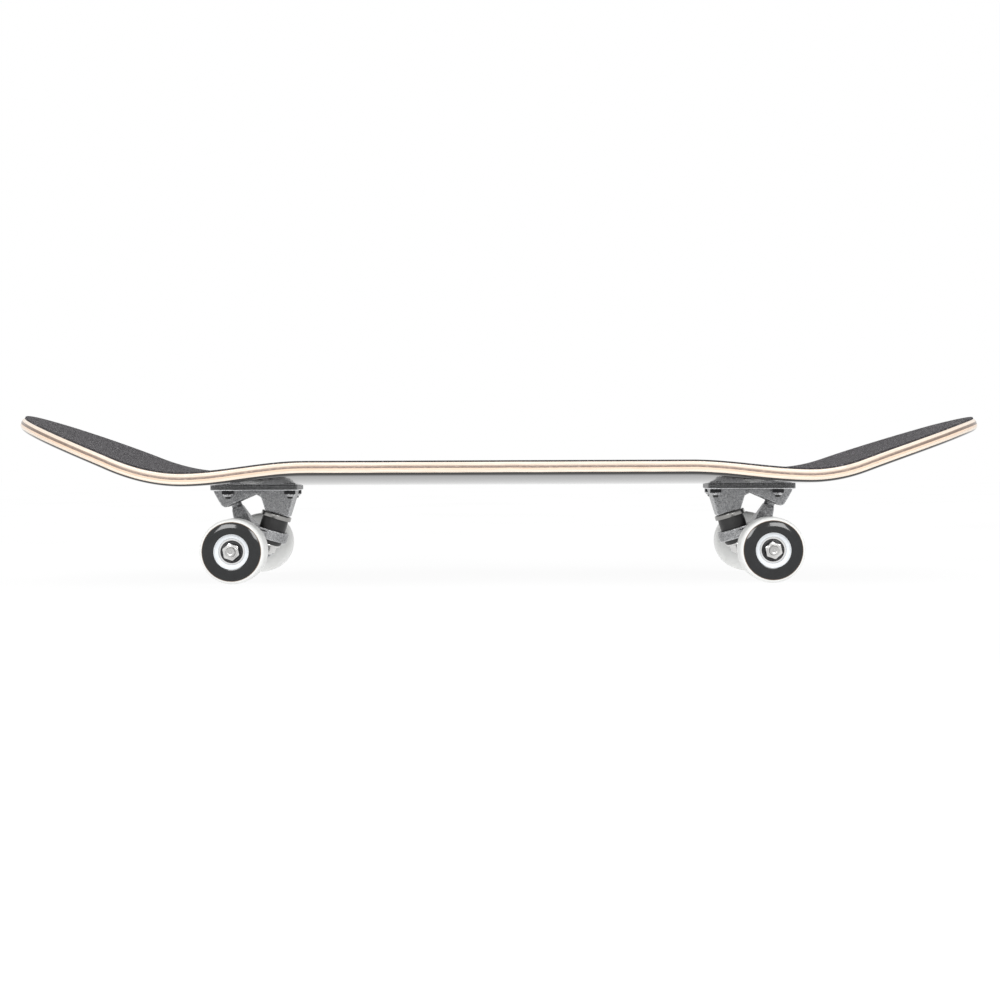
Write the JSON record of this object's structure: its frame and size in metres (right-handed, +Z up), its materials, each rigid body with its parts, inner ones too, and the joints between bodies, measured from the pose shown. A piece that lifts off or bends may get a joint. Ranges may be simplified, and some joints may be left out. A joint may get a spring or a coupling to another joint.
{
  "type": "skateboard",
  "caption": "Street skateboard with a kicked, concave laminated deck, grip tape, steering trucks on bushings and free-rolling urethane wheels on ball bearings.",
  "frame": {"origin": "floor level, under the middle of the whole board's length and width", "axes": "+X towards the tail, -X towards the nose, +Y towards the rider's right when facing the nose, +Z up"},
  "size_m": [0.834, 0.216, 0.1442],
  "materials": {
    "deck_wood": "lacquered",
    "grip": "coarse grit",
    "cast_aluminium": "blasted, satin",
    "kingpin_steel": "zinc plated",
    "washer_steel": "nickel plated",
    "nut_steel": "nickel plated",
    "bolt_steel": "black oxide",
    "axle_steel": "ground",
    "bearing_steel": "polished",
    "shield": "gloss black",
    "cage_polymer": "moulded",
    "bushing_rubber": "satin",
    "cup_polymer": "satin",
    "urethane": "satin, with a gloss black printed band"
  },
  "bodies": {
    "board": {"deck": "deck_wood", "grip_tape": "grip", "nose_baseplate": "cast_aluminium", "nose_pivot_cup": "cup_polymer", "nose_deck_bolts": "bolt_steel", "nose_deck_nuts": "bolt_steel", "nose_kingpin": "kingpin_steel", "nose_upper_washer": "washer_steel", "nose_upper_bushing": "bushing_rubber", "nose_lower_bushing": "bushing_rubber", "nose_lower_washer": "washer_steel", "nose_kingpin_nut": "nut_steel", "tail_baseplate": "cast_aluminium", "tail_pivot_cup": "cup_polymer", "tail_deck_bolts": "bolt_steel", "tail_deck_nuts": "bolt_steel", "tail_kingpin": "kingpin_steel", "tail_upper_washer": "washer_steel", "tail_upper_bushing": "bushing_rubber", "tail_lower_bushing": "bushing_rubber", "tail_lower_washer": "washer_steel", "tail_kingpin_nut": "nut_steel"},
    "nose_truck_hanger": {"nose_hanger": "cast_aluminium", "nose_axle": "axle_steel", "nose_axle_nuts": "nut_steel", "nose_speed_washers": "washer_steel", "nose_bearing_spacers": "axle_steel", "nose_inner_races": "bearing_steel"},
    "nose_left_wheel": {"nose_left_wheel": "urethane", "nose_left_outer_races": "bearing_steel", "nose_left_shields": "shield"},
    "nose_left_bearing_balls": {"nose_left_cages": "cage_polymer", "nose_left_balls": "bearing_steel"},
    "nose_right_wheel": {"nose_right_wheel": "urethane", "nose_right_outer_races": "bearing_steel", "nose_right_shields": "shield"},
    "nose_right_bearing_balls": {"nose_right_cages": "cage_polymer", "nose_right_balls": "bearing_steel"},
    "tail_truck_hanger": {"tail_hanger": "cast_aluminium", "tail_axle": "axle_steel", "tail_axle_nuts": "nut_steel", "tail_speed_washers": "washer_steel", "tail_bearing_spacers": "axle_steel", "tail_inner_races": "bearing_steel"},
    "tail_left_wheel": {"tail_left_wheel": "urethane", "tail_left_outer_races": "bearing_steel", "tail_left_shields": "shield"},
    "tail_left_bearing_balls": {"tail_left_cages": "cage_polymer", "tail_left_balls": "bearing_steel"},
    "tail_right_wheel": {"tail_right_wheel": "urethane", "tail_right_outer_races": "bearing_steel", "tail_right_shields": "shield"},
    "tail_right_bearing_balls": {"tail_right_cages": "cage_polymer", "tail_right_balls": "bearing_steel"}
  },
  "joints": [
    {"name": "nose_steer", "type": "hinge", "parent": "board", "child": "nose_truck_hanger", "pos_m": [-0.23225, 0, 0.069], "axis": [-0.7168, 0, 0.6973], "range_deg": [-12, 12], "stiffness_Nm_per_rad": 120, "deforming": ["nose_upper_bushing", "nose_lower_bushing"]},
    {"name": "nose_left_spin", "type": "hinge", "parent": "nose_truck_hanger", "child": "nose_left_wheel", "pos_m": [-0.21875, -0.0862, 0.027], "axis": [0, 1, 0], "continuous": true},
    {"name": "nose_left_ball_orbit", "type": "hinge", "parent": "nose_truck_hanger", "child": "nose_left_bearing_balls", "pos_m": [-0.21875, -0.0862, 0.027], "axis": [0, 1, 0], "continuous": true},
    {"name": "nose_right_spin", "type": "hinge", "parent": "nose_truck_hanger", "child": "nose_right_wheel", "pos_m": [-0.21875, 0.0862, 0.027], "axis": [0, 1, 0], "continuous": true},
    {"name": "nose_right_ball_orbit", "type": "hinge", "parent": "nose_truck_hanger", "child": "nose_right_bearing_balls", "pos_m": [-0.21875, 0.0862, 0.027], "axis": [0, 1, 0], "continuous": true},
    {"name": "tail_steer", "type": "hinge", "parent": "board", "child": "tail_truck_hanger", "pos_m": [0.23975, 0, 0.069], "axis": [0.7168, 0, 0.6973], "range_deg": [-12, 12], "stiffness_Nm_per_rad": 120, "deforming": ["tail_upper_bushing", "tail_lower_bushing"]},
    {"name": "tail_left_spin", "type": "hinge", "parent": "tail_truck_hanger", "child": "tail_left_wheel", "pos_m": [0.22625, -0.0862, 0.027], "axis": [0, 1, 0], "continuous": true},
    {"name": "tail_left_ball_orbit", "type": "hinge", "parent": "tail_truck_hanger", "child": "tail_left_bearing_balls", "pos_m": [0.22625, -0.0862, 0.027], "axis": [0, 1, 0], "continuous": true},
    {"name": "tail_right_spin", "type": "hinge", "parent": "tail_truck_hanger", "child": "tail_right_wheel", "pos_m": [0.22625, 0.0862, 0.027], "axis": [0, 1, 0], "continuous": true},
    {"name": "tail_right_ball_orbit", "type": "hinge", "parent": "tail_truck_hanger", "child": "tail_right_bearing_balls", "pos_m": [0.22625, 0.0862, 0.027], "axis": [0, 1, 0], "continuous": true}
  ],
  "couplings": [
    {"joint": "nose_left_ball_orbit", "follows": "nose_left_spin", "ratio": 0.632},
    {"joint": "nose_right_ball_orbit", "follows": "nose_right_spin", "ratio": 0.632},
    {"joint": "tail_left_ball_orbit", "follows": "tail_left_spin", "ratio": 0.632},
    {"joint": "tail_right_ball_orbit", "follows": "tail_right_spin", "ratio": 0.632}
  ]
}
